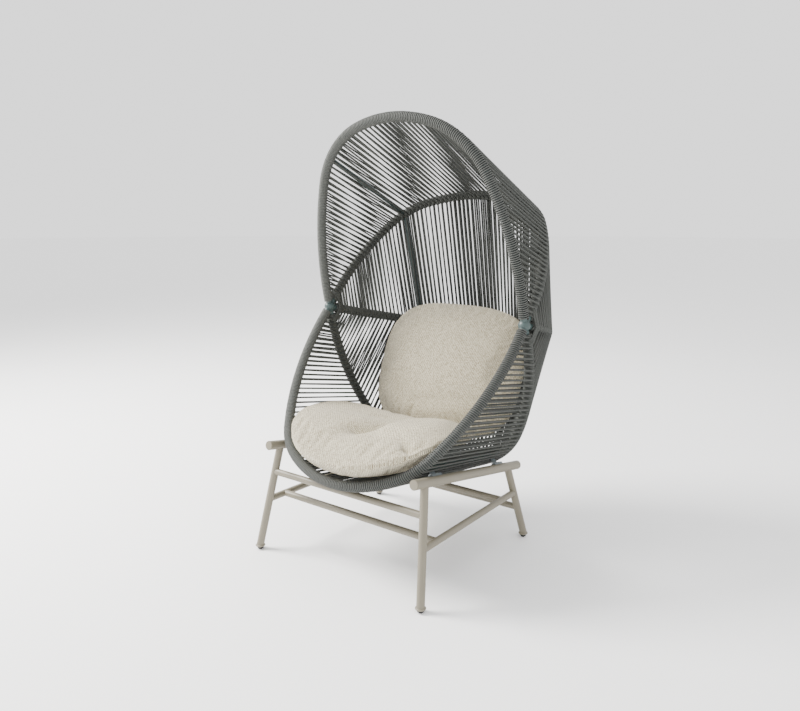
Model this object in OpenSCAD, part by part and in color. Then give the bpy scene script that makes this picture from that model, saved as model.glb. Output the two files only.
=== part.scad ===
// Pod chair: a hooded seat of five rope-wrapped arches, strung with cords, on a tube base.
// Millimetres, Z up, front towards -Y. The origin is on the floor, under the middle of the chair.
// Each arch is a bent tube in one plane through the line between the two side hubs. Half of it is
// a bare stub, a side bend, a shoulder bend and half of a crown bend, and the other half mirrors it.
// Arch angles are measured at the hub line: 0 points to the back, 90 up and -90 down.

/* [Hubs] */
// Distance between the centres of the two side hubs
hub_span = 800; // [790:1:810]
// Height of the hubs above the floor
hub_z = 770; // [768:1:775]
// Hub line measured from the middle of the footprint, positive towards the back
hub_y = -10.8; // [-15:0.2:-7]
// Diameter of the bare hub ball
hub_ball_d = 38; // [34:1:42]
// Length of the bare stub that each arch tube is welded to
stub_len = 26; // [25:1:28]

/* [Tubes and cord] */
// Outer diameter of the arch tubes
tube_d = 22; // [20:0.5:22]
// Wall of every tube
tube_wall = 2; // [1.5:0.5:3]
// Diameter of the cord
cord_d = 5.5; // [4:0.5:6]
// Cords in each layer of each panel
cord_count = 82; // [40:1:82]
// Length of the weld bands between the bends of an arch
weld_l = 4; // [3:0.5:6]
// Room left between pieces that touch along curved faces
seat_gap = 0.15; // [0.1:0.05:0.2]
// Bare length left at both ends of an inner arch, before its rope wrap starts
inner_bare = 18; // [14:1:20]
// Length along an arch before the first cord
cord_margin = 24; // [22:1:30]

/* [Hood rim] */
// Angle of the hood rim's plane
hood_angle = 103; // [101:0.5:105]
// Outward lean where the hood rim leaves the hub
hood_lean = 0.5; // [0:0.1:2]
// Radius of the hood rim's side bend
hood_side_r = 1116; // [1100:2:1130]
// Heading at the end of the hood rim's side bend
hood_side_to = 21.7; // [21:0.1:22]
// Radius of the hood rim's shoulder bend
hood_shoulder_r = 288; // [280:1:296]
// Heading at the end of the hood rim's shoulder bend
hood_shoulder_to = 72; // [71:0.5:73]

/* [Back arch] */
// Angle of the back arch's plane
back_angle = 48.6; // [47:0.1:50]
// Outward lean where the back arch leaves the hub
back_lean = 2.4; // [2:0.1:3]
// Radius of the back arch's side bend
back_side_r = 708; // [700:1:716]
// Heading at the end of the back arch's side bend
back_side_to = 29; // [28:0.5:30]
// Radius of the back arch's shoulder bend
back_shoulder_r = 221; // [215:1:227]
// Heading at the end of the back arch's shoulder bend
back_shoulder_to = 69.6; // [69:0.1:70]

/* [Waist arch] */
// Angle of the waist arch's plane
waist_angle = -12.7; // [-14:0.1:-12]
// Outward lean where the waist arch leaves the hub
waist_lean = 5.8; // [5:0.1:6.5]
// Radius of the waist arch's side bend
waist_side_r = 390; // [385:1:395]
// Heading at the end of the waist arch's side bend
waist_side_to = 30; // [28:0.5:32]
// Radius of the waist arch's shoulder bend
waist_shoulder_r = 396; // [390:1:400]
// Heading at the end of the waist arch's shoulder bend
waist_shoulder_to = 60; // [59:0.5:61]

/* [Lower arch] */
// Angle of the lower arch's plane
lower_angle = -73.6; // [-74.5:0.1:-73]
// Outward lean where the lower arch leaves the hub
lower_lean = 4.1; // [3.5:0.1:4.5]
// Radius of the lower arch's side bend
lower_side_r = 709; // [704:1:714]
// Heading at the end of the lower arch's side bend
lower_side_to = 26.8; // [26:0.1:27.5]
// Radius of the lower arch's shoulder bend
lower_shoulder_r = 295; // [290:1:300]
// Heading at the end of the lower arch's shoulder bend
lower_shoulder_to = 60.3; // [60:0.1:61]

/* [Seat rim] */
// Angle of the seat rim's plane
seat_angle = -132.4; // [-133.5:0.1:-132]
// Outward lean where the seat rim leaves the hub
seat_lean = 1.3; // [1:0.1:2]
// Radius of the seat rim's side bend
seat_side_r = 921; // [915:1:927]
// Heading at the end of the seat rim's side bend
seat_side_to = 28.5; // [28:0.1:29]
// Radius of the seat rim's shoulder bend
seat_shoulder_r = 237; // [232:1:242]
// Heading at the end of the seat rim's shoulder bend
seat_shoulder_to = 59.3; // [59:0.1:60]

/* [Struts and brackets] */
// Diameter of the struts that tie one arch to the next
strut_d = 16; // [12:1:16]
// Place of the hood strut on the hood rim, as a share of the rim from hub to hub
hood_strut_share = 0.31; // [0.29:0.005:0.33]
// Place of the upper struts on the back and waist arches, as a share of the arch
back_strut_share = 0.295; // [0.29:0.005:0.3]
// Gap between cords, counted from the hub, that holds the lower and seat struts
lower_strut_gap = 26; // [26:1:27]
// Front bracket's place from front to back
front_bracket_y = -312.8; // [-323:0.2:-303]
// Rear bracket's place from front to back
rear_bracket_y = 45.2; // [37:0.2:53]
// Height of the struts above the rails' middle at the front brackets
front_bracket_rise = 30.7; // [30:0.1:33]
// Height of the struts above the rails' middle at the rear brackets
rear_bracket_rise = 37; // [36:0.1:39]
// Width of the saddle that each bracket has on its rail
saddle_w = 22; // [16:1:24]
// Length of the saddle along the rail
saddle_l = 50; // [44:1:60]
// Metal over the rail's top in the saddle
saddle_t = 3.5; // [3:0.5:4.5]
// Thickness of the web between saddle and strut
web_t = 5; // [4:0.5:6]
// Length of the web along the rail
web_l = 20; // [14:1:22]
// Distance between the two bolts of a saddle
bolt_spacing = 36; // [34:1:40]
// Thread diameter of the bracket bolts
bolt_d = 6; // [5:1:6]
// Diameter of the bolt heads
bolt_head_d = 9; // [8:0.5:9.5]
// Height of the bolt heads
bolt_head_h = 4; // [3:0.5:5]
// Length of the bolts under the head
bolt_len = 14; // [12:1:18]
// Width of the key socket in the bolt heads
bolt_key = 4; // [3:0.5:5]

/* [Base] */
// Outer diameter of the two rails
rail_d = 30; // [28:0.5:32]
// Distance of each rail inwards from the hubs
rail_inset = 107; // [103:1:109]
// Front end of the rails
rail_front_y = -424.8; // [-433:0.2:-419]
// Length of the rails from front to back
rail_run = 595; // [585:1:600]
// Thickness of the discs that close the rails
rail_disc_t = 3; // [2:0.5:4]
// Outer diameter of the legs
leg_d = 25; // [24:0.5:27]
// Outer diameter of the stretchers and cross bars
bar_d = 22; // [20:0.5:22]
// Distance of the front leg's top from the rail's front end
front_leg_inset = 50; // [45:1:60]
// Distance of the rear leg's top from the rail's back end
rear_leg_inset = 66; // [60:1:75]
// How far the front feet stand out from the rails
front_foot_splay = 40; // [32:1:47]
// Front feet, from front to back
front_foot_y = -447.8; // [-458:0.2:-438]
// How far the rear feet stand out from the rails
rear_foot_splay = 32; // [25:1:39]
// Rear feet, from front to back
rear_foot_y = 181.2; // [172:0.2:192]
// Height of the side stretchers
stretcher_z = 170; // [165:1:180]
// Height of the front upper bar
front_upper_z = 263; // [258:1:264]
// Height of the rear lower bar
rear_lower_z = 114; // [108:1:120]
// Place of the front lower bar along the stretchers, as a share from the front
front_lower_share = 0.128; // [0.11:0.002:0.15]
// Place of the rear upper bar along the stretchers, as a share from the front
rear_upper_share = 0.846; // [0.82:0.002:0.86]
// Diameter of the flared collar under each leg
collar_d = 32; // [30:0.5:34]
// Height of the collar
collar_h = 7; // [6:0.5:9]
// Diameter of the glide under the collar
glide_d = 20; // [18:0.5:24]
// Height of the glide under the collar
glide_h = 9; // [7:0.5:12]
// Diameter of the glide's stem inside the collar
glide_stem_d = 8; // [6:0.5:10]

/* [Seat cushion] */
// Room between each hub and the seat cushion's side edge, measured across
seat_side_room = 110; // [110:1:120]
// Reach of the seat cushion's front edge past the seat rim's crown
seat_front_over = 19.5; // [12:0.5:20]
// Room between the seat cushion's back edge and the lower arch's crown
seat_back_room = 96.4; // [95:0.1:104]
// Half thickness of the seat cushion in its middle
seat_half_t = 61; // [56:1:61]
// Height of the seat cushion's middle above the line between the two crowns
seat_lift = 101.1; // [101.1:0.1:108]
// Tilt of the seat cushion against the line between the two crowns
seat_turn = 6.2; // [5.2:0.1:7.2]
// Rise of the seat cushion's sides against the pod
seat_side_rise = 71; // [68:1:76]
// Droop of the seat cushion's front edge
seat_front_droop = 8; // [0:1:9]

/* [Back cushion] */
// Room between each hub and the back cushion's side edge, measured across
rest_side_room = 104; // [104:1:116]
// Half height of the back cushion
rest_half_l = 244; // [230:1:244]
// Half thickness of the back cushion in its middle
rest_half_t = 65; // [58:1:66]
// Distance of the back cushion's middle in front of the waist arch's crown
rest_back_room = 277.5; // [275.5:0.1:281.5]
// Height of the back cushion's middle above the seat cushion's middle
rest_lift = 187.7; // [187.7:0.1:192]
// Lean of the back cushion, 90 is upright
rest_tilt = 69.5; // [68:0.5:71]
// Sweep of the back cushion's sides towards the back
rest_side_sweep = 18; // [12:1:20]

/* [Hidden] */

rope_grey = [0.42, 0.43, 0.42];
frame_grey = [0.37, 0.45, 0.45];
base_taupe = [0.68, 0.66, 0.61];
cushion_beige = [0.8, 0.77, 0.72];
glide_black = [0.06, 0.06, 0.06];
bolt_grey = [0.6, 0.62, 0.63];

// What each number of an arch is
plane = 0;
lean = 1;
side_r = 2;
side_to = 3;
shoulder_r = 4;
shoulder_to = 5;
hood = [hood_angle, hood_lean, hood_side_r, hood_side_to, hood_shoulder_r, hood_shoulder_to];
back = [back_angle, back_lean, back_side_r, back_side_to, back_shoulder_r, back_shoulder_to];
waist = [waist_angle, waist_lean, waist_side_r, waist_side_to, waist_shoulder_r, waist_shoulder_to];
lower = [lower_angle, lower_lean, lower_side_r, lower_side_to, lower_shoulder_r, lower_shoulder_to];
seat = [seat_angle, seat_lean, seat_side_r, seat_side_to, seat_shoulder_r, seat_shoulder_to];

wrap_d = tube_d + 2 * cord_d;
// Distance from an arch's centre line to a cord that runs past its wrap
cord_reach = (wrap_d + cord_d) / 2 + seat_gap;
// Where the cords of a panel meet an arch, as a share of their pitch: neighbouring panels meet it
// half a pitch apart, so that their cords pass beside each other, and both sides mirror each other
half_share = 0.5;
whole_share = 1;
lower_strut_share = lower_strut_gap / cord_count;
tube_faces = 96;
cord_faces = 24;

// Geometry of an arch in its own plane: x across, y away from the hub line
function polar(a) = [cos(a), sin(a)];
function side_start(a) = [hub_span / 2, 0] + stub_len * [sin(a[lean]), cos(a[lean])];
function side_centre(a) = side_start(a) - a[side_r] * polar(-a[lean]);
function side_end(a) = side_centre(a) + a[side_r] * polar(a[side_to]);
function shoulder_centre(a) = side_end(a) - a[shoulder_r] * polar(a[side_to]);
function shoulder_end(a) = shoulder_centre(a) + a[shoulder_r] * polar(a[shoulder_to]);
function crown_r(a) = shoulder_end(a).x / cos(a[shoulder_to]);
function crown_centre(a) = [0, shoulder_end(a).y - crown_r(a) * sin(a[shoulder_to])];
function arc_len(r, turn) = r * turn * PI / 180;
function arc_turn(r, len) = len / r * 180 / PI;
function side_len(a) = arc_len(a[side_r], a[side_to] + a[lean]);
function shoulder_len(a) = arc_len(a[shoulder_r], a[shoulder_to] - a[side_to]);
function half_len(a) = side_len(a) + shoulder_len(a) + arc_len(crown_r(a), 90 - a[shoulder_to]);

// Heading and place at a length along the right half, from the stub's end
function heading(a, s) =
    s < side_len(a) ? arc_turn(a[side_r], s) - a[lean]
    : s < side_len(a) + shoulder_len(a) ? a[side_to] + arc_turn(a[shoulder_r], s - side_len(a))
    : a[shoulder_to] + arc_turn(crown_r(a), s - side_len(a) - shoulder_len(a));
function flat_place(a, s) =
    s < side_len(a) ? side_centre(a) + a[side_r] * polar(heading(a, s))
    : s < side_len(a) + shoulder_len(a) ? shoulder_centre(a) + a[shoulder_r] * polar(heading(a, s))
    : crown_centre(a) + crown_r(a) * polar(heading(a, s));
function tilted(a, v) = [v.x, v.y * cos(a[plane]), v.y * sin(a[plane])];
function mirrored(v) = [-v.x, v.y, v.z];

// Place and direction at a share of an arch, from the right hub to the left one
function run_at(a, share) = cord_margin + share * 2 * (half_len(a) - cord_margin);
function place_right(a, s) = [0, hub_y, hub_z] + tilted(a, flat_place(a, s));
function place(a, share) =
    let (s = run_at(a, share))
    s <= half_len(a) ? place_right(a, s) : mirrored(place_right(a, 2 * half_len(a) - s));
function direction(a, share) =
    let (s = run_at(a, share), h = heading(a, min(s, 2 * half_len(a) - s)), t = tilted(a, [-sin(h), cos(h)]))
    s <= half_len(a) ? t : -mirrored(t);

function unit(v) = v / norm(v);
// Unit vector square to an arch and to a cord that leaves it, pointing out of the pod
function outward(a, share, run) =
    let (n = unit(cross(direction(a, share), run)))
    n * (place(a, share) - [0, hub_y, hub_z]) > 0 ? n : -n;
// Halfway between the outward vectors of a panel and of its neighbour, which runs on to the arch next
function corner_side(a, share, run, next) =
    unit(outward(a, share, run) + outward(a, share, place(next, share) - place(a, share)));
// Cords lie tangent to the wraps, but inside a corner they end on the corner, where they would cross
function cord_end(a, share, run, layer, next) =
    place(a, share) + layer * cord_reach
    * (layer > 0 || is_undef(next) ? outward(a, share, run) : corner_side(a, share, run, next));

// turn sets where the seam of a rod lies, about its own axis
module rod(from, to, d, faces = cord_faces, turn = 0) {
    run = to - from;
    translate(from)
        rotate([0, acos(run.z / norm(run)), atan2(run.y, run.x)])
            rotate([0, 0, turn])
                cylinder(h = norm(run), d = d, $fn = faces);
}

module pipe(from, to, d, turn = 0) {
    difference() {
        rod(from, to, d, turn = turn);
        rod(from, to, d - 2 * tube_wall, turn = turn);
    }
}

module bend(centre, r, from, to) {
    translate([centre.x, centre.y, 0])
        rotate([0, 0, from])
            rotate_extrude(angle = to - from, $fn = tube_faces)
                translate([r, 0])
                    children();
}

// A weld band closes the hairline gap between two bends and stands slightly proud of them
module weld_band(at, head, outer_d, inner_d) {
    translate([at.x, at.y, 0])
        rotate([-90, 0, head])
            difference() {
                cylinder(h = weld_l, d = outer_d + seat_gap, center = true, $fn = tube_faces);
                cylinder(h = 2 * weld_l, d = inner_d - seat_gap, center = true, $fn = tube_faces);
            }
}

// Sweeps a ring along an arch, with its first stretch left bare on both sides
module arch(a, outer_d, inner_d, bare = 0) {
    side_gap = arc_turn(a[side_r], seat_gap);
    shoulder_gap = arc_turn(a[shoulder_r], seat_gap);
    crown_gap = arc_turn(crown_r(a), seat_gap);
    translate([0, hub_y, hub_z])
        rotate([a[plane], 0, 0]) {
            for (side = [0, 1])
                mirror([side, 0, 0]) {
                    bend(side_centre(a), a[side_r],
                        arc_turn(a[side_r], bare) - a[lean], a[side_to] - side_gap)
                        ring(outer_d, inner_d);
                    bend(shoulder_centre(a), a[shoulder_r],
                        a[side_to] + shoulder_gap, a[shoulder_to] - shoulder_gap)
                        ring(outer_d, inner_d);
                    weld_band(side_end(a), a[side_to], outer_d, inner_d);
                    weld_band(shoulder_end(a), a[shoulder_to], outer_d, inner_d);
                }
            bend(crown_centre(a), crown_r(a), a[shoulder_to] + crown_gap, 180 - a[shoulder_to] - crown_gap)
                ring(outer_d, inner_d);
        }
}

module ring(outer_d, inner_d) {
    difference() {
        circle(d = outer_d, $fn = cord_faces);
        circle(d = inner_d, $fn = cord_faces);
    }
}

module arch_tube(a) {
    color(frame_grey)
        arch(a, tube_d, tube_d - 2 * tube_wall);
}

module both_sides() {
    for (side = [0, 1])
        mirror([side, 0, 0])
            children();
}

// Room that a strut takes where it passes through a wrap
module strut_bore(a, share, b, other_share) {
    from = place(a, share);
    both_sides()
        rod(from, from + wrap_d * unit(place(b, other_share) - from), strut_d + 2 * seat_gap);
}

module arch_wrap(a, bare = 0) {
    color(rope_grey)
        difference() {
            arch(a, wrap_d, tube_d + 3 * seat_gap, bare);
            children();
        }
}

// A strut runs from arch to arch, and its ends are shaped to the two tubes
module strut(a, share, b, other_share) {
    from = place(a, share);
    to = place(b, other_share);
    color(frame_grey)
        difference() {
            rod(from, to, strut_d);
            rod(from - tube_d * direction(a, share), from + tube_d * direction(a, share),
                tube_d + 2 * seat_gap, tube_faces);
            rod(to - tube_d * direction(b, other_share), to + tube_d * direction(b, other_share),
                tube_d + 2 * seat_gap, tube_faces);
        }
}

// One layer of a panel: layer is 1 outside and -1 inside. next and other_next are the arches of the
// neighbouring panels, where there are any.
module cords(a, start_share, b, other_start_share, layer, next, other_next) {
    color(rope_grey)
        for (i = [0 : cord_count - 1 - floor(max(start_share, other_start_share))]) {
            share = (i + start_share) / cord_count;
            other_share = (i + other_start_share) / cord_count;
            run = place(b, other_share) - place(a, share);
            rod(cord_end(a, share, run, layer, next), cord_end(b, other_share, run, layer, other_next), cord_d);
        }
}

module hub() {
    color(frame_grey)
        translate([hub_span / 2, hub_y, hub_z]) {
            sphere(d = hub_ball_d, $fn = tube_faces);
            for (a = [hood, back, waist, lower, seat])
                rod([0, 0, 0], stub_len * tilted(a, [sin(a[lean]), cos(a[lean])]), tube_d);
        }
}

module hub_right() hub();
module hub_left() mirror([1, 0, 0]) hub();

module hood_rim_tube() arch_tube(hood);
module back_arch_tube() arch_tube(back);
module waist_arch_tube() arch_tube(waist);
module lower_arch_tube() arch_tube(lower);
module seat_rim_tube() arch_tube(seat);

module hood_rim_wrap() arch_wrap(hood) {
    strut_bore(hood, hood_strut_share, back, back_strut_share);
}
module back_arch_wrap() arch_wrap(back, inner_bare) {
    strut_bore(back, back_strut_share, hood, hood_strut_share);
    strut_bore(back, back_strut_share, waist, back_strut_share);
}
module waist_arch_wrap() arch_wrap(waist, inner_bare) {
    strut_bore(waist, back_strut_share, back, back_strut_share);
    strut_bore(waist, lower_strut_share, lower, lower_strut_share);
}
module lower_arch_wrap() arch_wrap(lower, inner_bare) {
    strut_bore(lower, lower_strut_share, waist, lower_strut_share);
    strut_bore(lower, lower_strut_share, seat, lower_strut_share);
}
module seat_rim_wrap() arch_wrap(seat) {
    strut_bore(seat, lower_strut_share, lower, lower_strut_share);
}

module hood_strut_right() strut(hood, hood_strut_share, back, back_strut_share);
module hood_strut_left() mirror([1, 0, 0]) hood_strut_right();
module back_strut_right() strut(back, back_strut_share, waist, back_strut_share);
module back_strut_left() mirror([1, 0, 0]) back_strut_right();
module lower_strut_right() strut(waist, lower_strut_share, lower, lower_strut_share);
module lower_strut_left() mirror([1, 0, 0]) lower_strut_right();
module seat_strut_right() strut(lower, lower_strut_share, seat, lower_strut_share);
module seat_strut_left() mirror([1, 0, 0]) seat_strut_right();

module hood_cords_outer() cords(hood, whole_share, back, whole_share, 1);
module hood_cords_inner() cords(hood, half_share, back, whole_share, -1, other_next = waist);
module back_cords_outer() cords(back, half_share, waist, half_share, 1);
module back_cords_inner() cords(back, half_share, waist, whole_share, -1, hood, lower);
module lower_cords_outer() cords(waist, whole_share, lower, whole_share, 1);
module lower_cords_inner() cords(waist, half_share, lower, whole_share, -1, back, seat);
module seat_cords_outer() cords(lower, half_share, seat, half_share, 1);
module seat_cords_inner() cords(lower, half_share, seat, whole_share, -1, next = waist);

// Base: its rails keep below the seat struts by the rise of the brackets
seat_strut_front = place(seat, lower_strut_share);
seat_strut_back = place(lower, lower_strut_share);
function strut_at(y) =
    seat_strut_front + (seat_strut_back - seat_strut_front)
    * (y - seat_strut_front.y) / (seat_strut_back.y - seat_strut_front.y);

rail_x = hub_span / 2 - rail_inset;
front_bracket_z = strut_at(front_bracket_y).z - front_bracket_rise;
rear_bracket_z = strut_at(rear_bracket_y).z - rear_bracket_rise;
rail_slope = atan2(front_bracket_z - rear_bracket_z, rear_bracket_y - front_bracket_y);
function rail_at(y) = [rail_x, y, front_bracket_z - (y - front_bracket_y) * tan(rail_slope)];
rail_front = rail_at(rail_front_y);
rail_back = rail_at(rail_front_y + rail_run);
front_foot = [rail_x + front_foot_splay, front_foot_y, 0];
rear_foot = [rail_x + rear_foot_splay, rear_foot_y, 0];
front_top = rail_at(rail_front.y + front_leg_inset);
rear_top = rail_at(rail_back.y - rear_leg_inset);
function leg_at(foot, top, z) = foot + (top - foot) * z / top.z;
stretcher_front = leg_at(front_foot, front_top, stretcher_z);
stretcher_back = leg_at(rear_foot, rear_top, stretcher_z);
function stretcher_at(share) = stretcher_front + share * (stretcher_back - stretcher_front);
foot_h = glide_h + collar_h;

// Frame of a bracket: origin on the rail's centre line, Y along the rail, Z towards the strut
module at_bracket(y) {
    away = strut_at(y) - rail_at(y);
    translate(rail_at(y))
        rotate([-rail_slope, 0, 0])
            rotate([0, atan2(away.x, away.z), 0])
                children();
}

module at_bolts(y) {
    at_bracket(y)
        for (end = [-1, 1])
            translate([0, end * bolt_spacing / 2, rail_d / 2 + saddle_t])
                children();
}

module bolt_bore() {
    translate([0, 0, -bolt_len - saddle_t])
        cylinder(h = bolt_len + 2 * saddle_t, d = bolt_d + 2 * seat_gap, $fn = cord_faces);
}

module bracket(y) {
    color(bolt_grey)
        difference() {
            at_bracket(y) {
                translate([-saddle_w / 2, -saddle_l / 2, 0])
                    cube([saddle_w, saddle_l, rail_d / 2 + saddle_t]);
                translate([-web_t / 2, -web_l / 2, 0])
                    cube([web_t, web_l, norm(strut_at(y) - rail_at(y))]);
            }
            rod(rail_front, rail_back, rail_d + 2 * seat_gap, tube_faces);
            rod(seat_strut_front, seat_strut_back, strut_d + 2 * seat_gap, tube_faces);
            at_bolts(y)
                bolt_bore();
        }
}

module bolt() {
    difference() {
        cylinder(h = bolt_head_h, d = bolt_head_d, $fn = cord_faces);
        translate([0, 0, bolt_head_h / 2])
            cylinder(h = bolt_head_h, d = bolt_key, $fn = 6);
    }
    translate([0, 0, -bolt_len])
        cylinder(h = bolt_len, d = bolt_d, $fn = cord_faces);
}

module bracket_front_right() bracket(front_bracket_y);
module bracket_front_left() mirror([1, 0, 0]) bracket_front_right();
module bracket_rear_right() bracket(rear_bracket_y);
module bracket_rear_left() mirror([1, 0, 0]) bracket_rear_right();

module bracket_bolts() {
    color(bolt_grey)
        both_sides()
            for (y = [front_bracket_y, rear_bracket_y])
                at_bolts(y)
                    bolt();
}

module rail_right() {
    color(base_taupe)
        difference() {
            pipe(rail_front, rail_back, rail_d);
            for (y = [front_bracket_y, rear_bracket_y])
                at_bolts(y)
                    bolt_bore();
        }
}
module rail_left() mirror([1, 0, 0]) rail_right();

module rail_end_disc() {
    edge = rail_disc_t / 3;
    cylinder(h = rail_disc_t - edge, d = rail_d, $fn = tube_faces);
    cylinder(h = rail_disc_t, d = rail_d - 2 * edge, $fn = tube_faces);
}

module rail_end_discs() {
    color(base_taupe)
        both_sides() {
            translate(rail_front)
                rotate([90 - rail_slope, 0, 0])
                    rail_end_disc();
            translate(rail_back)
                rotate([-90 - rail_slope, 0, 0])
                    rail_end_disc();
        }
}

// A leg stands on its collar and is shaped to the rail at its top
module leg(foot, top) {
    color(base_taupe)
        difference() {
            pipe(foot, top, leg_d, turn = 90);
            rod(rail_front, rail_back, rail_d + 2 * seat_gap, tube_faces);
            translate([foot.x - collar_d, foot.y - collar_d, -foot_h])
                cube([2 * collar_d, 2 * collar_d, 2 * foot_h]);
        }
}
module leg_front_right() leg(front_foot, front_top);
module leg_front_left() mirror([1, 0, 0]) leg_front_right();
module leg_rear_right() leg(rear_foot, rear_top);
module leg_rear_left() mirror([1, 0, 0]) leg_rear_right();

module stretcher_right() {
    color(base_taupe)
        difference() {
            pipe(stretcher_front, stretcher_back, bar_d);
            rod(front_foot, front_top, leg_d + 2 * seat_gap, tube_faces);
            rod(rear_foot, rear_top, leg_d + 2 * seat_gap, tube_faces);
        }
}
module stretcher_left() mirror([1, 0, 0]) stretcher_right();

// A bar runs straight across between two mirrored tubes, and is shaped to them
module cross_bar(at, from, to, d) {
    color(base_taupe)
        difference() {
            pipe(mirrored(at), at, bar_d);
            both_sides()
                rod(from, to, d + 2 * seat_gap, tube_faces);
        }
}
module front_upper_bar()
    cross_bar(leg_at(front_foot, front_top, front_upper_z), front_foot, front_top, leg_d);
module rear_lower_bar()
    cross_bar(leg_at(rear_foot, rear_top, rear_lower_z), rear_foot, rear_top, leg_d);
module front_lower_bar()
    cross_bar(stretcher_at(front_lower_share), stretcher_front, stretcher_back, bar_d);
module rear_upper_bar()
    cross_bar(stretcher_at(rear_upper_share), stretcher_front, stretcher_back, bar_d);

// The collar and glide stand under the middle of the leg's cut end
function foot_place(foot, top) = leg_at(foot, top, foot_h) - [0, 0, foot_h];

module collar(foot, top) {
    lip = collar_h / 3;
    color(base_taupe)
        translate(foot_place(foot, top) + [0, 0, glide_h])
            rotate_extrude($fn = tube_faces)
                polygon([
                    [glide_stem_d / 2 + seat_gap, 0],
                    [collar_d / 2 - lip, 0],
                    [collar_d / 2, lip],
                    [collar_d / 2, 2 * lip],
                    [collar_d / 2 - lip, collar_h],
                    [glide_stem_d / 2 + seat_gap, collar_h]
                ]);
}
module collar_front_right() collar(front_foot, front_top);
module collar_front_left() mirror([1, 0, 0]) collar_front_right();
module collar_rear_right() collar(rear_foot, rear_top);
module collar_rear_left() mirror([1, 0, 0]) collar_rear_right();

module glide(foot, top) {
    toe = glide_h / 3;
    color(glide_black)
        translate(foot_place(foot, top))
            rotate_extrude($fn = tube_faces)
                polygon([
                    [0, 0],
                    [glide_d / 2 - toe, 0],
                    [glide_d / 2, toe],
                    [glide_d / 2, glide_h],
                    [glide_stem_d / 2, glide_h],
                    [glide_stem_d / 2, foot_h],
                    [0, foot_h]
                ]);
}
module glide_front_right() glide(front_foot, front_top);
module glide_front_left() mirror([1, 0, 0]) glide_front_right();
module glide_rear_right() glide(rear_foot, rear_top);
module glide_rear_left() mirror([1, 0, 0]) glide_rear_right();

// Cushions: a rounded square plan and a full crown that is drawn in to a thin edge.
// bow lifts the sides, droop lowers the front edge.
cushion_turns = 48;
cushion_rows = 24;
plan_power = 2 / 2.3;
rest_plan_power = 2 / 3;
crown_power = 2 / 2.2;

function bent_power(c, e) = sign(c) * pow(abs(c), e);
function cushion_point(half, bow, droop, power, turn, climb) =
    let (
        w = pow(cos(climb), crown_power),
        x = bent_power(cos(turn), power) * w,
        y = bent_power(sin(turn), power) * w,
        z = bent_power(sin(climb), crown_power)
    )
    [half.x * x, half.y * y, half.z * z + bow * x * x - droop * pow(min(y, 0), 2)];

module cushion(half, bow, droop, power) {
    n = cushion_turns;
    rings = cushion_rows - 1;
    points = concat(
        [[0, 0, -half.z]],
        [for (j = [1 : rings], i = [0 : n - 1])
            cushion_point(half, bow, droop, power, 360 * i / n, 180 * j / cushion_rows - 90)],
        [[0, 0, half.z]]
    );
    top = n * rings + 1;
    faces = concat(
        [for (i = [0 : n - 1]) [0, 1 + i, 1 + (i + 1) % n]],
        [for (j = [0 : rings - 2], i = [0 : n - 1])
            [1 + j * n + i, 1 + (j + 1) * n + i, 1 + j * n + (i + 1) % n]],
        [for (j = [0 : rings - 2], i = [0 : n - 1])
            [1 + (j + 1) * n + i, 1 + (j + 1) * n + (i + 1) % n, 1 + j * n + (i + 1) % n]],
        [for (i = [0 : n - 1]) [top, top - n + (i + 1) % n, top - n + i]]
    );
    polyhedron(points, faces);
}

// The seat cushion lies between the crowns of the seat rim and the lower arch
seat_crown = place(seat, half_share);
lower_crown = place(lower, half_share);
seat_front_y = seat_crown.y - seat_front_over;
seat_back_y = lower_crown.y - seat_back_room;
seat_y = (seat_front_y + seat_back_y) / 2;
seat_slope = atan2(lower_crown.z - seat_crown.z, lower_crown.y - seat_crown.y);
seat_z = seat_crown.z + (seat_y - seat_crown.y) * tan(seat_slope) + seat_lift;

module seat_cushion() {
    half = [hub_span / 2 - seat_side_room, (seat_back_y - seat_front_y) / 2, seat_half_t];
    color(cushion_beige)
        translate([0, seat_y, seat_z])
            rotate([seat_slope + seat_turn, 0, 0])
                cushion(half, seat_side_rise, seat_front_droop, plan_power);
}

module back_cushion() {
    half = [hub_span / 2 - rest_side_room, rest_half_l, rest_half_t];
    color(cushion_beige)
        translate([0, place(waist, half_share).y - rest_back_room, seat_z + rest_lift])
            rotate([rest_tilt, 0, 0])
                cushion(half, -rest_side_sweep, 0, rest_plan_power);
}

hub_left();
hub_right();
hood_rim_tube();
back_arch_tube();
waist_arch_tube();
lower_arch_tube();
seat_rim_tube();
hood_rim_wrap();
back_arch_wrap();
waist_arch_wrap();
lower_arch_wrap();
seat_rim_wrap();
hood_strut_left();
hood_strut_right();
back_strut_left();
back_strut_right();
lower_strut_left();
lower_strut_right();
seat_strut_left();
seat_strut_right();
hood_cords_outer();
hood_cords_inner();
back_cords_outer();
back_cords_inner();
lower_cords_outer();
lower_cords_inner();
seat_cords_outer();
seat_cords_inner();
bracket_front_left();
bracket_front_right();
bracket_rear_left();
bracket_rear_right();
bracket_bolts();
rail_left();
rail_right();
rail_end_discs();
leg_front_left();
leg_front_right();
leg_rear_left();
leg_rear_right();
stretcher_left();
stretcher_right();
front_upper_bar();
front_lower_bar();
rear_upper_bar();
rear_lower_bar();
collar_front_left();
collar_front_right();
collar_rear_left();
collar_rear_right();
glide_front_left();
glide_front_right();
glide_rear_left();
glide_rear_right();
seat_cushion();
back_cushion();
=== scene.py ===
import math

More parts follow.
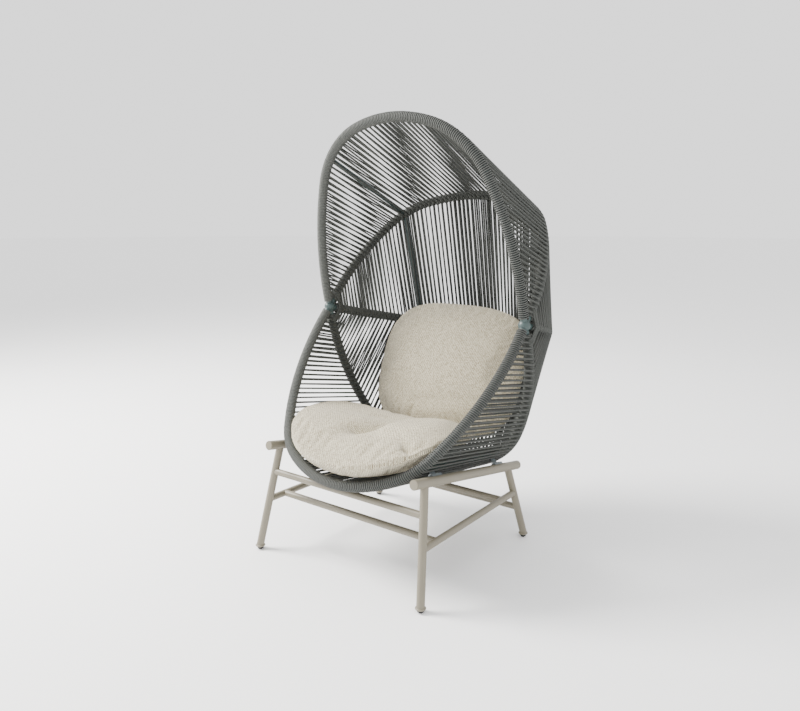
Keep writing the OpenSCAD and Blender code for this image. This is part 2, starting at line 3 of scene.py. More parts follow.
import bpy
import numpy as np
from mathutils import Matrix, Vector


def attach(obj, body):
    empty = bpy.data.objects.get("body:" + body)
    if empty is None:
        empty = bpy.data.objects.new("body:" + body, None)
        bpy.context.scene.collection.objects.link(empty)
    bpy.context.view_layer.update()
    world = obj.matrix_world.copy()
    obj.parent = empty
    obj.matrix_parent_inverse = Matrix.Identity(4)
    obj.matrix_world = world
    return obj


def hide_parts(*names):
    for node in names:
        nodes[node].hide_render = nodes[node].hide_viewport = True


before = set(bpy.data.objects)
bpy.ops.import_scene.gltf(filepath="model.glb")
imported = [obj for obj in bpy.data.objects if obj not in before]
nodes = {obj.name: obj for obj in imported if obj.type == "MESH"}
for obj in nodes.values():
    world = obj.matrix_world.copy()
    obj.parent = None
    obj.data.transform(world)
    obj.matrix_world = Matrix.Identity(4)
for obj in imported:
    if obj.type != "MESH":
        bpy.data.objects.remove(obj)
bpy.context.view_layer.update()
chairBody = "chair"
print("frame loaded:", len(nodes), "nodes")


# camera and light

cameraSetup = {
    "azimuth": 37.445,
    "elevation": 10.835,
    "distance": 2.51007,
    "target": (-0.07367, -0.0108, 0.62308),
    "lens": 32.708,
    "sensor": 36,
}
lamps = {
    # place, what it points at, width, power, colour
    "key": ((-3.1, -1.5, 3.3), (0, 0, 0.5), 2.0, 590, (1.0, 0.98, 0.95)),
    "side": ((3.3, -0.9, 1.9), (0, 0, 0.6), 1.6, 8, (0.97, 0.985, 1.0)),
    "back": ((-0.6, 3.2, 2.6), (0, 0.1, 0.7), 2.0, 14, (1.0, 1.0, 1.0)),
}
skySetup = {"colour": (1.0, 1.0, 1.0, 1), "strength": 1.7}


def lookAt(thing, target):
    way = Vector(target) - thing.location
    thing.rotation_euler = way.to_track_quat("-Z", "Y").to_euler()


def buildCamera():
    turn = math.radians(cameraSetup["azimuth"])
    lift = math.radians(cameraSetup["elevation"])
    back = Vector((math.sin(turn) * math.cos(lift), -math.cos(turn) * math.cos(lift), math.sin(lift)))
    camera = bpy.data.objects.new("camera", bpy.data.cameras.new("camera"))
    bpy.context.scene.collection.objects.link(camera)
    camera.location = Vector(cameraSetup["target"]) + back * cameraSetup["distance"]
    lookAt(camera, cameraSetup["target"])
    camera.data.sensor_width = cameraSetup["sensor"]
    camera.data.lens = cameraSetup["lens"]
    bpy.context.scene.camera = camera


def buildLights():
    for name, (place, target, width, power, colour) in lamps.items():
        lamp = bpy.data.lights.new(name, "AREA")
        lamp.shape = "DISK"
        lamp.size = width
        lamp.energy = power
        lamp.color = colour
        thing = bpy.data.objects.new(name, lamp)
        bpy.context.scene.collection.objects.link(thing)
        thing.location = place
        lookAt(thing, target)


def buildSky():
    sky = bpy.data.worlds.new("sky")
    bpy.context.scene.world = sky
    sky.use_nodes = True
    given = sky.node_tree.nodes["Background"].inputs
    given["Color"].default_value = skySetup["colour"]
    given["Strength"].default_value = skySetup["strength"]


buildCamera()
buildLights()
buildSky()
print("camera and lights placed")


# shader maths: a Wire stands for a value on a surface, and sums of wires add their nodes

def bothWays(operation):
    # an operator of wires and its reflected form
    return (lambda self, other: self.maths(operation, self, other),
            lambda self, other: self.maths(operation, other, self))


class Wire:
    def __init__(self, finish, socket):
        self.finish = finish
        self.socket = socket

    def maths(self, operation, *values):
        return self.finish.node("ShaderNodeMath", {"operation": operation}, dict(enumerate(values)))

    __add__, __radd__ = bothWays("ADD")
    __sub__, __rsub__ = bothWays("SUBTRACT")
    __mul__, __rmul__ = bothWays("MULTIPLY")
    __pow__, __rpow__ = bothWays("POWER")
    __mod__, __rmod__ = bothWays("FLOORED_MODULO")
    __gt__, __lt__ = bothWays("GREATER_THAN")

    def sine(self):
        return self.maths("SINE", self)

    def size(self):
        return self.maths("ABSOLUTE", self)

    def floor(self):
        return self.maths("FLOOR", self)

    def larger(self, other):
        return self.maths("MAXIMUM", self, other)


class Finish:
    def __init__(self, name):
        self.material = bpy.data.materials.new(name)
        self.material.use_nodes = True
        self.tree = self.material.node_tree
        self.shader = self.tree.nodes["Principled BSDF"]

    def node(self, kind, settings=None, given=None, output=0):
        made = self.tree.nodes.new(kind)
        for key, value in (settings or {}).items():
            setattr(made, key, value)
        for key, value in (given or {}).items():
            if isinstance(value, Wire):
                self.tree.links.new(value.socket, made.inputs[key])
            else:
                made.inputs[key].default_value = value
        return Wire(self, made.outputs[output])

    def place(self, output="Object"):
        return self.node("ShaderNodeTexCoord", output=output)

    def part(self, vector, axis):
        return self.node("ShaderNodeSeparateXYZ", given={0: vector}, output=axis)

    def noise(self, vector, scale, detail, roughness):
        return self.node("ShaderNodeTexNoise", given={
            "Vector": vector, "Scale": scale, "Detail": detail, "Roughness": roughness})

    def stretched(self, vector, scale):
        return self.node("ShaderNodeVectorMath", {"operation": "MULTIPLY"}, {0: vector, 1: scale})

    def mix(self, share, first, second):
        return self.node("ShaderNodeMix", {"data_type": "RGBA"}, {0: share, 6: first, 7: second}, output=2)

    def between(self, value, low, high, lowOut=0.0, highOut=1.0):
        return self.node("ShaderNodeMapRange", given={
            0: value, 1: low, 2: high, 3: lowOut, 4: highOut})

    def bump(self, height, strength, distance):
        return self.node("ShaderNodeBump", given={
            "Height": height, "Strength": strength, "Distance": distance})

    def use(self, **sockets):
        for name, value in sockets.items():
            socket = self.shader.inputs[name.replace("_", " ")]
            if isinstance(value, Wire):
                self.tree.links.new(value.socket, socket)
            else:
                socket.default_value = value
        return self.material


def rgb(red, green, blue):
    # screen colour 0-255 to the linear colour that the shader wants
    linear = [(c / 255 / 12.92) if c / 255 <= 0.04045 else ((c / 255 + 0.055) / 1.055) ** 2.4
              for c in (red, green, blue)]
    return (*linear, 1)


# floor

floorSetup = {
    "radius": 40.0,
    "corners": 96,
    "colour": (0.96, 0.96, 0.96),
    "shade": 0.985,          # the darker tone of its grain
    "grain": (3.0, 3.0, 0.5),
    "roughness": 0.9,
    "gloss": 0.1,
}


def floorFinish():
    finish = Finish("floorPaint")
    grain = finish.noise(finish.place(), *floorSetup["grain"])
    light = (*floorSetup["colour"], 1)
    shade = (*(c * floorSetup["shade"] for c in floorSetup["colour"]), 1)
    tone = finish.mix(grain, light, shade)
    return finish.use(Base_Color=tone, Roughness=floorSetup["roughness"],
                      Specular_IOR_Level=floorSetup["gloss"])


def buildFloor():
    radius, count = floorSetup["radius"], floorSetup["corners"]
    turns = [2 * math.pi * i / count for i in range(count)]
    corners = [(radius * math.cos(t), radius * math.sin(t), 0) for t in turns]
    mesh = bpy.data.meshes.new("floor")
    mesh.from_pydata(corners, [], [list(range(count))])
    floor = bpy.data.objects.new("floor", mesh)
    bpy.context.scene.collection.objects.link(floor)
    mesh.materials.append(floorFinish())


buildFloor()


# finishes: a noise is its scale, detail and roughness, and a bump its strength and depth in metres

powder = {
    # screen colour and roughness of each paint
    "framePaint": ((56, 71, 70), 0.42),
    "basePaint": ((118, 112, 97), 0.46),
    "bracketPaint": ((86, 93, 95), 0.38),
    "deep": 0.95,            # the darker clouds, as a share of the colour
    "dusty": (1.05, 4),      # the paler ones, as a share of it and steps on the screen added
    "gloss": 0.45,
    "grain": (900.0, 2.0, 0.6),
    "grainBump": (0.5, 0.00006),
    "cloud": (9.0, 4.0, 0.6),
    "cloudRoughness": 0.1,
    "rub": (60.0, 5.0, 0.7),
    "rubRange": (0.62, 0.78),
    "rubShare": 0.35,
    "rubRoughness": 0.08,
}


def powderFinish(name):
    finish = Finish(name)
    colour, roughness = powder[name]
    share, steps = powder["dusty"]
    here = finish.place()
    grain = finish.noise(here, *powder["grain"])
    cloud = finish.noise(here, *powder["cloud"])
    rub = finish.between(finish.noise(here, *powder["rub"]), *powder["rubRange"])
    dusty = rgb(*[c * share + steps for c in colour])
    deep = rgb(*[c * powder["deep"] for c in colour])
    tone = finish.mix(cloud, deep, dusty)
    tone = finish.mix(rub * powder["rubShare"], tone, rgb(*colour))
    rough = roughness + powder["cloudRoughness"] * (cloud - 0.5) + powder["rubRoughness"] * rub
    return finish.use(Base_Color=tone, Roughness=rough, Specular_IOR_Level=powder["gloss"],
                      Normal=finish.bump(grain, *powder["grainBump"]))


steel = {
    "colours": ((176, 180, 182), (132, 136, 138)),
    "stretch": (40.0, 2200.0, 2200.0),
    "brush": (1.0, 3.0, 0.7),
    "brushBump": (0.3, 0.00003),
    "roughness": (0.28, 0.22),     # at the least, and what the brushing adds
    "spot": (400.0, 4.0, 0.7),
    "spotRange": (0.55, 0.8),
    "spotDulling": 0.25,
}


def steelFinish():
    finish = Finish("boltSteel")
    here = finish.place()
    brushed = finish.noise(finish.stretched(here, steel["stretch"]), *steel["brush"])
    spots = finish.between(finish.noise(here, *steel["spot"]), *steel["spotRange"])
    tone = finish.mix(spots, *(rgb(*c) for c in steel["colours"]))
    smooth, added = steel["roughness"]
    return finish.use(Base_Color=tone, Metallic=1.0 - steel["spotDulling"] * spots,
                      Roughness=smooth + added * brushed,
                      Normal=finish.bump(brushed, *steel["brushBump"]))


glide = {
    "colours": ((24, 24, 25), (52, 52, 52)),
    "scuff": (180.0, 5.0, 0.75),
    "scuffRange": (0.5, 0.75),
    "roughness": (0.5, 0.3),       # at the least, and what the scuffs add
    "grain": (1500.0, 2.0, 0.5),
    "grainBump": (0.4, 0.00005),
}


def glideFinish():
    finish = Finish("glidePlastic")
    here = finish.place()
    scuff = finish.between(finish.noise(here, *glide["scuff"]), *glide["scuffRange"])
    grain = finish.noise(here, *glide["grain"])
    tone = finish.mix(scuff, *(rgb(*c) for c in glide["colours"]))
    smooth, added = glide["roughness"]
    return finish.use(Base_Color=tone, Roughness=smooth + added * scuff,
                      Normal=finish.bump(grain, *glide["grainBump"]))


rope = {
    "width": 0.0055,
    "wrapWidth": 0.00528,    # on the rims, so that a groove shows between the turns
    "strungWidth": 0.0067,   # as the strung cords look where they lie free
    "lay": 0.0085,           # length of one turn of the braid
    "carriers": 4,           # strands that cross round the rope each way
    "rimColours": ((44, 46, 44), (114, 116, 112)),
    # painted shade: the strung cords, arch coils and lashings are the same rope as the rims, coloured
    # darker because they lie in shade
    "shadedCordColours": ((26, 28, 27), (82, 84, 80)),
    # the groove values below paint shade into the grooves between the rim's turns
    "grooveShadeColour": (8, 9, 9),
    "grooveShadePower": 0.9,
    "grooveShadeShare": 0.95,
    "grooveShadeTight": 0.35,     # of that painted groove shade, the part kept on the left, where the turns lie tight
    "grooveShadeRange": (-0.3, 0.3),    # the stretch of x over which it grows to the whole
    "fibre": (2600.0, 2.0, 0.7),
    "cloud": (14.0, 3.0, 0.6),
    "paler": (0.55, 0.3, 0.35),    # by the braid, as painted shade in the valleys between its strands, its fibres and the clouds
    "roughness": (0.72, 0.12),     # at the least, and what the fibres add
    "gloss": 0.35,
    "fibreHeight": 0.35,     # beside the braid's
    "braidBump": (0.8, 0.0005),
}


def ropeFinish(name, colours, shadedGrooves):
    # u runs along the rope in metres, v goes once round it and is 0 on the side away from the tube
    finish = Finish(name)
    dark, light = (rgb(*c) for c in colours)
    braidShadeShare, byFibre, byCloud = rope["paler"]
    smooth, added = rope["roughness"]
    turn = 2 * math.pi
    along = finish.part(finish.place("UV"), 0)
    around = finish.part(finish.place("UV"), 1)
    oneWay = (along * (turn / rope["lay"]) + around * (turn * rope["carriers"])).sine()
    otherWay = (along * (turn / rope["lay"]) - around * (turn * rope["carriers"])).sine()
    braid = oneWay.larger(otherWay) * 0.5 + 0.5
    here = finish.place()
    fibre = finish.noise(here, *rope["fibre"])
    cloud = finish.noise(here, *rope["cloud"])
    # painted shade: the rope is coloured darker in the braid's valleys between the strands
    tone = finish.mix(braid * braidShadeShare + fibre * byFibre, dark, light)
    faded = finish.mix(cloud * byCloud, tone, light)
    if shadedGrooves:
        # painted shade: the grooves where neighbouring turns meet are coloured near black, less so on the
        # left
        paintedGrooveShade = (around * turn).sine().size() ** rope["grooveShadePower"]
        grooveShadeByX = finish.between(finish.part(here, 0), *rope["grooveShadeRange"], rope["grooveShadeTight"], 1.0)
        faded = finish.mix(paintedGrooveShade * grooveShadeByX * rope["grooveShadeShare"], faded, rgb(*rope["grooveShadeColour"]))
    return finish.use(Base_Color=faded, Roughness=smooth + added * fibre, Specular_IOR_Level=rope["gloss"],
                      Normal=finish.bump(braid + fibre * rope["fibreHeight"], *rope["braidBump"]))


cloth = {
    "yarn": 0.0034,          # width of one pair of yarns
    "repeat": 3.0,           # yarns in one step of the twill
    "weftHeight": 0.8,       # beside the warp's
    "wander": (45.0, 2.0, 0.5),
    "wanderReach": 0.0012,
    "lightColour": (255, 247, 218),
    "darkColour": (126, 107, 78),
    # painted shade for the low places between the yarns
    "gapShadeColour": (90, 77, 56),
    "lighter": (0.6, 0.2, 0.2),    # by the fleck of a crossing, its slubs and the yarn on top
    "lightPower": 0.72,
    "slub": (1.0, 2.0, 0.6),
    "slubStretch": (330.0, 70.0),  # across a yarn and along it
    "slubRange": (0.34, 0.66),
    "fuzz": (1800.0, 2.0, 0.7),
    "fuzzHeight": 0.25,
    "weaveBump": (0.85, 0.0011),
    "roughness": 0.9,
    "gloss": 0.2,
    "sheen": (0.25, 0.5),          # its weight and roughness
}


def clothFinish():
    # u and v are lengths on the flat panel, in metres
    finish = Finish("wovenCloth")
    byFleck, bySlub, byYarn = cloth["lighter"]
    across, along = cloth["slubStretch"]
    sheen, sheenRoughness = cloth["sheen"]
    flat = finish.place("UV")
    wander = finish.noise(flat, *cloth["wander"]) * cloth["wanderReach"]
    columns = (finish.part(flat, 0) + wander) * (1 / cloth["yarn"])
    rows = (finish.part(flat, 1) + wander) * (1 / cloth["yarn"])
    # a twill: each row's float starts one yarn on, so the ribs run diagonally
    step = (columns.floor() + rows.floor()) % cloth["repeat"]
    warpOver = cloth["repeat"] / 2 - step > 0.0
    warp = (columns * math.pi).sine().size()
    weft = (rows * math.pi).sine().size()
    height = warpOver * warp + (1 - warpOver) * weft * cloth["weftHeight"]
    cell = finish.node("ShaderNodeCombineXYZ", given={0: columns.floor(), 1: rows.floor()})
    fleck = finish.node("ShaderNodeTexWhiteNoise", {"noise_dimensions": "2D"}, {"Vector": cell})
    warpSlub = finish.noise(finish.stretched(flat, (across, along, 1.0)), *cloth["slub"])
    weftSlub = finish.noise(finish.stretched(flat, (along, across, 1.0)), *cloth["slub"])
    slub = finish.between(warpOver * warpSlub + (1 - warpOver) * weftSlub, *cloth["slubRange"])
    fuzz = finish.noise(flat, *cloth["fuzz"])
    light = (fleck * byFleck + slub * bySlub + warpOver * byYarn) ** cloth["lightPower"]
    tone = finish.mix(light, rgb(*cloth["darkColour"]), rgb(*cloth["lightColour"]))
    # painted shade: where the weave lies low, between the yarns, the colour goes to the darker gap colour
    gapShaded = finish.mix(height, rgb(*cloth["gapShadeColour"]), tone)
    return finish.use(Base_Color=gapShaded, Roughness=cloth["roughness"], Specular_IOR_Level=cloth["gloss"],
                      Sheen_Weight=sheen, Sheen_Roughness=sheenRoughness,
                      Normal=finish.bump(height + fuzz * cloth["fuzzHeight"], *cloth["weaveBump"]))


rimRopeMaterial = ropeFinish("rimRope", rope["rimColours"], True)
# the cords take the darker copy of the rope's colours, which is painted shade
shadedCordMaterial = ropeFinish("panelCordShaded", rope["shadedCordColours"], False)
clothMaterial = clothFinish()
frameMaterial = powderFinish("framePaint")
baseMaterial = powderFinish("basePaint")
bracketMaterial = powderFinish("bracketPaint")
steelMaterial = steelFinish()
glideMaterial = glideFinish()
print("finishes made")


# meshes

def addPiece(name, mesh, material, body):
    piece = bpy.data.objects.new(name, mesh)
    bpy.context.scene.collection.objects.link(piece)
    mesh.materials.append(material)
    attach(piece, body)
    return piece


def meshFrom(name, points, faces, uv=None):
    mesh = bpy.data.meshes.new(name)
    mesh.from_pydata(points.tolist(), [], faces)
    if uv is not None:
        layer = mesh.uv_layers.new(name="laid")
        layer.uv.foreach_set("vector", np.asarray(uv, np.float32).ravel())
    mesh.shade_smooth()
    return mesh


def unit(v):
    return v / np.maximum(np.linalg.norm(v, axis=-1, keepdims=True), 1e-12)


startUp = (0.31, 0.52, 0.79)      # no tube starts along this, so it gives a first ring its side


def tubeRings(path, radius, sides, ups):
    # rings round a path: ups gives each ring's first direction, or it is carried along without twist
    ahead = np.empty_like(path)
    ahead[1:-1] = unit(path[2:] - path[1:-1]) + unit(path[1:-1] - path[:-2])
    ahead[0], ahead[-1] = path[1] - path[0], path[-1] - path[-2]
    ahead = unit(ahead)
    if ups is None:
        up = np.cross(ahead[0], startUp)
        ups = np.empty_like(path)
        for i, t in enumerate(ahead):
            up = up - t * (up @ t)
            up = up / np.linalg.norm(up)
            ups[i] = up
    else:
        ups = unit(ups - ahead * np.sum(ups * ahead, -1, keepdims=True))
    sideways = np.cross(ahead, ups)
    turns = (2 * np.pi * np.arange(sides) / sides)[None, :, None]
    rings = path[:, None] + radius * (np.cos(turns) * ups[:, None] + np.sin(turns) * sideways[:, None])
    lengths = np.concatenate([[0], np.cumsum(np.linalg.norm(np.diff(path, axis=0), axis=1))])
    return rings.reshape(-1, 3), lengths


def tubesMesh(name, paths, radius, sides, ups=None):
    points, faces, uv, start = [], [], [], 0
    for path in paths:
        rings, lengths = tubeRings(path, radius, sides, ups)
        count = len(path)
        j = np.arange(sides)
        k = (j + 1) % sides
        i = np.arange(count - 1)[:, None] * sides + start
        quads = np.stack([i + j, i + k, i + k + sides, i + j + sides], -1).reshape(-1, 4)
        low = np.repeat(lengths[:-1], sides)
        high = np.repeat(lengths[1:], sides)
        left = np.tile(j / sides, count - 1)
        right = np.tile((j + 1) / sides, count - 1)
        quadUv = np.stack([low, left, low, right, high, right, high, left], -1).reshape(-1, 2)
        faces += quads.tolist()
        uv.append(quadUv)
        last = start + (count - 1) * sides
        faces.append(list(range(start, start + sides))[::-1])
        faces.append(list(range(last, last + sides)))
        capUv = np.zeros((sides, 2))
        capUv[:, 1] = j / sides
        uv += [capUv, capUv + (lengths[-1], 0)]
        points.append(rings)
        start += count * sides
    return meshFrom(name, np.concatenate(points), faces, np.concatenate(uv))


# the arches, in metres and degrees, with the same radii and angles as in the CAD

hub = {"halfSpan": 0.4, "y": -0.0108, "z": 0.77, "stub": 0.026}
tubeRadius = 0.011
coilRadius = tubeRadius + rope["width"] / 2
cordMargin = 0.024       # from an arch's stub to where the cords begin
cordCount = 82
arches = {
    "hood": {"plane": 103, "lean": 0.5, "side": (1.116, 21.7), "shoulder": (0.288, 72)},
    "back": {"plane": 48.6, "lean": 2.4, "side": (0.708, 29), "shoulder": (0.221, 69.6)},
    "waist": {"plane": -12.7, "lean": 5.8, "side": (0.39, 30), "shoulder": (0.396, 60)},
    "lower": {"plane": -73.6, "lean": 4.1, "side": (0.709, 26.8), "shoulder": (0.295, 60.3)},
    "seat": {"plane": -132.4, "lean": 1.3, "side": (0.921, 28.5), "shoulder": (0.237, 59.3)},
}


class Arch:
    def __init__(self, plane, lean, side, shoulder):
        def polar(degrees):
            return np.array([math.cos(math.radians(degrees)), math.sin(math.radians(degrees))])

        self.plane = math.radians(plane)
        start = np.array([hub["halfSpan"] + hub["stub"] * math.sin(math.radians(lean)),
                          hub["stub"] * math.cos(math.radians(lean))])
        sideCentre = start - side[0] * polar(-lean)
        sideEnd = sideCentre + side[0] * polar(side[1])
        shoulderCentre = sideEnd - shoulder[0] * polar(side[1])
        shoulderEnd = shoulderCentre + shoulder[0] * polar(shoulder[1])
        crown = shoulderEnd[0] / math.cos(math.radians(shoulder[1]))
        crownCentre = np.array([0, shoulderEnd[1] - crown * math.sin(math.radians(shoulder[1]))])
        self.radii = np.array([side[0], shoulder[0], crown])
        self.centres = np.array([sideCentre, shoulderCentre, crownCentre])
        self.headings = np.radians([-lean, side[1], shoulder[1]])
        ends = np.radians([side[1], shoulder[1], 90])
        self.starts = np.concatenate([[0], np.cumsum(self.radii * (ends - self.headings))])
        self.half = self.starts[-1]
        self.pitch = 2 * (self.half - cordMargin) / cordCount

    def tilt(self, flat):
        out = flat[:, 1]
        return np.stack([flat[:, 0], out * math.cos(self.plane), out * math.sin(self.plane)], -1)

    def at(self, lengths):
        # centre line, direction, and the two directions across it, at lengths from the right hub's stub
        lengths = np.atleast_1d(np.asarray(lengths, float))
        left = lengths > self.half
        s = np.where(left, 2 * self.half - lengths, lengths)
        piece = np.clip(np.searchsorted(self.starts[1:], s, side="right"), 0, 2)
        heading = self.headings[piece] + (s - self.starts[piece]) / self.radii[piece]
        away = np.stack([np.cos(heading), np.sin(heading)], -1)
        flat = self.centres[piece] + self.radii[piece][:, None] * away
        ahead = np.stack([-np.sin(heading), np.cos(heading)], -1)
        mirror = np.where(left, -1.0, 1.0)
        flat[:, 0] *= mirror
        away[:, 0] *= mirror
        ahead = np.where(left[:, None], np.stack([ahead[:, 0], -ahead[:, 1]], -1), ahead)
        across = self.tilt(away)
        ahead = self.tilt(ahead)
        return self.tilt(flat) + (0, hub["y"], hub["z"]), ahead, across, np.cross(ahead, across)

    def run(self, share):
        # the length at a share of the part that is strung
        return cordMargin + share * 2 * (self.half - cordMargin)


arch = {name: Arch(**given) for name, given in arches.items()}


# the rope wound round the two rims

rimWrap = {"pitch": 0.006, "stepsPerTurn": 16, "sides": 8, "endGap": -0.007, "loosening": 0.11,
           "wander": 0.00018, "wanderLift": 0.5, "seed": 4}


def awayFrom(a, lengths, angles):
    centre, ahead, across, along = a.at(lengths)
    return centre, np.cos(angles)[:, None] * across + np.sin(angles)[:, None] * along


def coil(a, lengths, angles, radius):
    centre, away = awayFrom(a, lengths, angles)
    return centre + np.broadcast_to(radius, angles.shape)[:, None] * away


def buildRimWrap(name, archName, node):
    a = arch[archName]
    length = 2 * a.half - 2 * rimWrap["endGap"] - rope["width"]
    turns = length / rimWrap["pitch"]
    steps = int(turns * rimWrap["stepsPerTurn"])
    t = np.linspace(0, 1, steps)
    rng = np.random.default_rng(rimWrap["seed"])
    knots = np.arange(int(turns) + 2)
    wander = np.interp(t * turns, knots, rng.normal(0, rimWrap["wander"], len(knots)))
    # the turns lie wider apart on the right, where they were begun, than on the left
    spread = t + rimWrap["loosening"] * t * (1 - t)
    lengths = rimWrap["endGap"] + rope["width"] / 2 + spread * length + wander
    angles = t * turns * 2 * np.pi
    path = coil(a, lengths, angles, coilRadius + wander * rimWrap["wanderLift"])
    away = awayFrom(a, lengths, angles)[1]
    mesh = tubesMesh(name, [path], rope["wrapWidth"] / 2, rimWrap["sides"], away)
    piece = addPiece(name, mesh, rimRopeMaterial, chairBody)
    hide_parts(node)


buildRimWrap("hoodRimRope", "hood", "hood_rim_wrap")
buildRimWrap("seatRimRope", "seat", "seat_rim_wrap")
print("rims wrapped")


# strung panels: each cord runs over the outside, winds round the arch and comes back inside

panel = {
    "stepsPerTurn": 12,
    "sides": 6,
    "turns": 1.5,
    "wander": 0.0011,
    "seed": 11,
    "parting": 0.22,         # of a pitch, each way, for the two layers' cords that share a place
    "nearby": 0.012,         # parted cords nearer than this wind on only half way to the next one
    "dive": 0.6,             # angle round the tube, in radians
    "diveSteps": 6,
    "diveDepth": 0.9,        # in widths of the rope
    "divePower": 1.5,
}
panels = {
    # rim or first arch, second arch, shares of a pitch where the outer and the inner cord meet each,
    # and the nodes that the piece replaces
    "hoodPanelCord": ("hood", "back", (1, 1), (0.5, 1),
                      ("hood_cords_outer", "hood_cords_inner", "back_arch_wrap")),
    "backPanelCord": ("back", "waist", (0.5, 0.5), (0.5, 1),
                      ("back_cords_outer", "back_cords_inner")),
    "lowerPanelCord": ("waist", "lower", (1, 1), (0.5, 1),
                       ("lower_cords_outer", "lower_cords_inner", "waist_arch_wrap")),
    "seatPanelCord": ("seat", "lower", (0.5, 0.5), (1, 0.5),
                      ("seat_cords_outer", "seat_cords_inner", "lower_arch_wrap")),
}
handwork = np.random.default_rng(panel["seed"])
rims = ("hood", "seat")
middle = np.array([0, hub["y"], hub["z"]])


def leaving(a, length, toward):
    # where a cord leaves an arch: its angle round the tube on the outer side, and the panel's own angle
    centre, ahead, across, along = (x[0] for x in a.at(length))
    run = unit(toward - centre)
    out = unit(np.cross(ahead, run))
    if out @ (centre - middle) < 0:
        out = -out
    return math.atan2(out @ along, out @ across), math.atan2(run @ along, run @ across)


def windings(a, fromLength, toLength, towardFrom, towardTo, outerFirst):
    # about one and a half turns from the outer cord's side to the inner cord's, round the far side first
    outer, ahead = leaving(a, fromLength, towardFrom)
    inner, _ = leaving(a, toLength, towardTo)
    inner += math.pi
    way = 1 if math.sin(outer - ahead) > 0 else -1
    if not outerFirst:
        outer, inner, way = outer + math.pi, inner - math.pi, -way
    wanted = way * panel["turns"] * 2 * math.pi
    sweep = (inner - outer) % (2 * math.pi)
    sweep += 2 * math.pi * round((wanted - sweep) / (2 * math.pi))
    count = int(panel["turns"] * panel["stepsPerTurn"])
    t = np.linspace(0, 1, count + 1)
    return coil(a, fromLength + (toLength - fromLength) * t, outer + sweep * t, coilRadius)


def dive(a, length, toward, inside):
    # a cord's end at a rim goes in under the wrap
    outer, ahead = leaving(a, length, toward)
    way = 1 if math.sin(outer - ahead) > 0 else -1
    if inside:
        outer, way = outer + math.pi, -way
    t = np.linspace(0, 1, panel["diveSteps"])
    depth = rope["width"] * panel["diveDepth"] * t ** panel["divePower"]
    return coil(a, np.full(len(t), length), outer + way * panel["dive"] * t, coilRadius - depth)


def strand(index, first, second, outerShares, innerShares):
    a, b = arch[first], arch[second]

    def at(one, share):
        return one.run((index + share) / cordCount) + handwork.normal(0, panel["wander"])

    def meet(one, name, outerShare, innerShare):
        out, back = at(one, outerShare), at(one, innerShare)
        if name not in rims and outerShare == innerShare:
            shift = panel["parting"] * one.pitch
            out, back = out - shift, back + shift
        return out, back

    outA, inA = meet(a, first, outerShares[0], innerShares[0])
    outB, inB = meet(b, second, outerShares[1], innerShares[1])
    pointOutA, pointOutB = a.at(outA)[0][0], b.at(outB)[0][0]
    pointInA, pointInB = a.at(inA)[0][0], b.at(inB)[0][0]
    around = windings(b, outB, inB, pointOutA, pointInA, True)
    if first in rims:
        start, end = dive(a, outA, pointOutB, False)[::-1], dive(a, inA, pointInB, True)
    else:
        # the inner end winds on towards where the next outer cord starts
        nextOut = outA + a.pitch
        if outerShares[0] == innerShares[0] and 0 < inA - outA < panel["nearby"]:
            nextOut = (inA + nextOut) / 2
        start = windings(a, outA, outA, pointOutB, pointOutB, True)[:1]
        end = windings(a, inA, min(nextOut, 2 * a.half - cordMargin), pointInB, pointOutB, False)
    return np.concatenate([start, around, end])


def buildPanel(name, first, second, outerShares, innerShares, replaced):
    paths = [strand(i, first, second, outerShares, innerShares) for i in range(-1, cordCount)]
    mesh = tubesMesh(name, paths, rope["strungWidth"] / 2, panel["sides"])
    piece = addPiece(name, mesh, shadedCordMaterial, chairBody)
    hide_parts(*replaced)


for name, given in panels.items():
    buildPanel(name, *given)
print("panels strung")


# rope on the inner arches: coils under the cords and at the bare ends, and lashings beside the hubs

hubRope = {
    "from": 0.003,
    "to": 0.034,
    "pitch": 0.0057,
    "stepsPerTurn": 16,
    "lashings": (0.013, 0.019, 0.026),
    "lashingSteps": 13,      # points in each of a lashing's two bends
    "lashingLift": 0.96,     # over the coils, in widths of the rope
    "stray": 0.001,
    "wander": 0.0012,
    "seed": 5,
}
coreCoil = {"radius": 0.0125, "pitch": 0.0054, "stepsPerTurn": 12, "thickness": 0.0054}
innerArches = ("back", "waist", "lower")


def plainCoil(a, first, last, pitch, radius, stepsPerTurn):
    turns = abs(last - first) / pitch
    t = np.linspace(0, 1, int(turns * stepsPerTurn))
    return coil(a, first + t * (last - first), t * turns * 2 * np.pi, radius)


def buildCoreCoils():
    paths = [plainCoil(arch[name], cordMargin, 2 * arch[name].half - cordMargin, coreCoil["pitch"],
                       coreCoil["radius"], coreCoil["stepsPerTurn"]) for name in innerArches]
    mesh = tubesMesh("archCoreCoils", paths, coreCoil["thickness"] / 2, panel["sides"])
    addPiece("archCoreCoils", mesh, shadedCordMaterial, chairBody)


def endCoil(a, left):
    first, last = hubRope["from"], hubRope["to"]
    if left:
        first, last = 2 * a.half - first, 2 * a.half - last
    return plainCoil(a, first, last, hubRope["pitch"], coilRadius, hubRope["stepsPerTurn"])


def lashing(a, b, length, left, rng):
    # a loop round two neighbouring arches, over their coils
    centres = [one.at(2 * one.half - length if left else length)[0][0] for one in (a, b)]
    ahead = a.at(2 * a.half - length if left else length)[1][0]
    run = unit(centres[1] - centres[0])
    out = unit(np.cross(ahead, run))
    reach = coilRadius + rope["width"] * hubRope["lashingLift"]
    points = []
    for centre, start in ((centres[1], -90), (centres[0], 90)):
        for turn in np.radians(start + np.linspace(0, 180, hubRope["lashingSteps"])):
            way = math.cos(turn) * run + math.sin(turn) * out
            points.append(centre + reach * way)
    points.append(points[0])
    shift = rng.normal(0, hubRope["wander"], (len(points), 1)) * ahead
    return np.array(points) + shift


